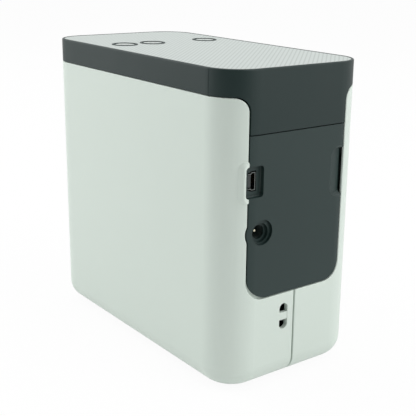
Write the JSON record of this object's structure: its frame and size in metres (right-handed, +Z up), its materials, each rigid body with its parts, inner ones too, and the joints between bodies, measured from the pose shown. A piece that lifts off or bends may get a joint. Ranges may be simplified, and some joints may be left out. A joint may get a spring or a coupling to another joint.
{
  "type": "label printer",
  "caption": "Upright desktop label printer with off-white half shells, dark cap and rear panel, round top keys, side cassette cover and tape feed works inside.",
  "frame": {"origin": "centre of the box round the printer, on the surface that its feet stand on", "axes": "+Z up, +Y out of the rear panel with the sockets, -Y where the tape leaves, +X towards the fixed side shell"},
  "size_m": [0.078, 0.152, 0.1432],
  "materials": {
    "white_plastic": "fine satin off-white ABS",
    "dark_plastic": "fine satin charcoal ABS",
    "inlay_plastic": "satin light grey with a fine grid",
    "key_plastic": "satin light grey",
    "frame_plastic": "dark grey ABS",
    "rubber": "matte black",
    "steel": "plain steel",
    "plated_steel": "bright plated",
    "aluminium": "plain",
    "board_green": "solder-masked board",
    "black_plastic": "matte black",
    "connector_plastic": "cream nylon",
    "gear_plastic": "natural acetal",
    "brass": "plain",
    "ceramic": "glazed ceramic",
    "cassette_plastic": "satin grey",
    "tape_film": "laminated film",
    "ribbon_film": "thin black film"
  },
  "bodies": {
    "casing": {"base_plate": "dark_plastic", "base_screws": "steel", "board_capacitors": "aluminium", "board_chips": "black_plastic", "board_connectors": "connector_plastic", "board_screws": "steel", "case_screws": "steel", "cassette_case": "cassette_plastic", "cassette_lid": "cassette_plastic", "chassis_frame": "frame_plastic", "cutter_frame": "steel", "cutter_motor": "steel", "cutter_pins": "steel", "dc_jack": "black_plastic", "dc_pin": "plated_steel", "drive_axle": "steel", "feed_motor": "steel", "fixed_blade": "steel", "front_panel": "dark_plastic", "head_bracket": "aluminium", "hinge_pins": "steel", "holder_pin": "steel", "key_board": "board_green", "key_switches": "black_plastic", "label_tape": "tape_film", "latch_clip": "steel", "main_board": "board_green", "motor_bracket": "steel", "print_head": "ceramic", "rear_panel": "dark_plastic", "right_shell": "white_plastic", "rubber_feet": "rubber", "top_cover": "dark_plastic", "top_inlay": "inlay_plastic", "usb_socket": "plated_steel", "usb_tongue": "black_plastic"},
    "cover": {"cassette_cover": "white_plastic"},
    "roller_lever": {"roller_holder": "black_plastic"},
    "platen": {"platen_roller": "steel", "platen_sleeve": "rubber"},
    "pinch": {"pinch_roller": "steel", "pinch_sleeve": "rubber"},
    "drive_wheel": {"drive_gear": "gear_plastic"},
    "feed_pinion": {"motor_pinion": "brass"},
    "ribbon_drive": {"ribbon_shaft": "gear_plastic", "takeup_spool": "ribbon_film"},
    "ribbon_supply": {"supply_spool": "ribbon_film"},
    "label_roll": {"tape_roll": "tape_film"},
    "tape_roller": {"cassette_roller": "rubber"},
    "crank": {"cutter_crank": "gear_plastic"},
    "cutter": {"cutter_lever": "steel"},
    "crank_pinion": {"cutter_pinion": "brass"},
    "power_button": {"power_key": "key_plastic", "power_plunger": "black_plastic"},
    "launch_button": {"launch_key": "key_plastic", "launch_plunger": "black_plastic"},
    "feed_button": {"feed_key": "key_plastic", "feed_plunger": "black_plastic"}
  },
  "joints": [
    {"name": "cover_hinge", "type": "hinge", "parent": "casing", "child": "cover", "pos_m": [-0.03069, -0.07098, 0.0127], "axis": [0, 0, 1], "range_deg": [0, 95]},
    {"name": "roller_release", "type": "hinge", "parent": "casing", "child": "roller_lever", "pos_m": [-0.012, 0.01, 0.1013], "axis": [-1, 0, 0], "range_deg": [0, 6]},
    {"name": "drive_spin", "type": "hinge", "parent": "casing", "child": "drive_wheel", "pos_m": [0, -0.03, 0.08179], "axis": [1, 0, 0], "continuous": true},
    {"name": "pinion_spin", "type": "hinge", "parent": "casing", "child": "feed_pinion", "pos_m": [0, -0.04446, 0.07167], "axis": [1, 0, 0], "continuous": true},
    {"name": "takeup_spin", "type": "hinge", "parent": "casing", "child": "ribbon_drive", "pos_m": [0, -0.01464, 0.0689], "axis": [1, 0, 0], "continuous": true},
    {"name": "supply_spin", "type": "hinge", "parent": "casing", "child": "ribbon_supply", "pos_m": [0, -0.024, 0.05005], "axis": [1, 0, 0], "continuous": true},
    {"name": "roll_spin", "type": "hinge", "parent": "casing", "child": "label_roll", "pos_m": [0, 0.018, 0.06205], "axis": [1, 0, 0], "continuous": true},
    {"name": "tape_roller_spin", "type": "hinge", "parent": "casing", "child": "tape_roller", "pos_m": [0, -0.038, 0.0891], "axis": [1, 0, 0], "continuous": true},
    {"name": "platen_spin", "type": "hinge", "parent": "roller_lever", "child": "platen", "pos_m": [0, -0.022, 0.0993], "axis": [1, 0, 0], "continuous": true},
    {"name": "pinch_spin", "type": "hinge", "parent": "roller_lever", "child": "pinch", "pos_m": [0, -0.038, 0.0993], "axis": [1, 0, 0], "continuous": true},
    {"name": "crank_turn", "type": "hinge", "parent": "casing", "child": "crank", "pos_m": [0.0236, -0.0525, 0.095], "axis": [0, -1, 0], "range_deg": [0, 90]},
    {"name": "cutter_swing", "type": "hinge", "parent": "casing", "child": "cutter", "pos_m": [0.009, -0.054, 0.095], "axis": [0, -1, 0], "range_deg": [0, 18.44]},
    {"name": "crank_pinion_spin", "type": "hinge", "parent": "casing", "child": "crank_pinion", "pos_m": [0.0236, -0.0525, 0.10645], "axis": [0, -1, 0], "range_deg": [-195, 0]},
    {"name": "power_press", "type": "slide", "parent": "casing", "child": "power_button", "axis": [0, 0, -1], "range_m": [0, 0.0005], "stiffness_N_per_m": 1500},
    {"name": "launch_press", "type": "slide", "parent": "casing", "child": "launch_button", "axis": [0, 0, -1], "range_m": [0, 0.0005], "stiffness_N_per_m": 1500},
    {"name": "feed_press", "type": "slide", "parent": "casing", "child": "feed_button", "axis": [0, 0, -1], "range_m": [0, 0.0005], "stiffness_N_per_m": 1500}
  ],
  "couplings": [
    {"joint": "roller_release", "follows": "cover_hinge", "ratio": 0.063158},
    {"joint": "pinion_spin", "follows": "drive_spin", "ratio": -2.6667},
    {"joint": "takeup_spin", "follows": "drive_spin", "ratio": -1.7778},
    {"joint": "platen_spin", "follows": "drive_spin", "ratio": -2},
    {"joint": "pinch_spin", "follows": "drive_spin", "ratio": -2},
    {"joint": "tape_roller_spin", "follows": "drive_spin", "ratio": 2.1277},
    {"joint": "roll_spin", "follows": "drive_spin", "ratio": 0.5},
    {"joint": "supply_spin", "follows": "drive_spin", "ratio": -1.1111},
    {"joint": "cutter_swing", "follows": "crank_turn", "ratio": 0.20485},
    {"joint": "crank_pinion_spin", "follows": "crank_turn", "ratio": -2.1667}
  ]
}
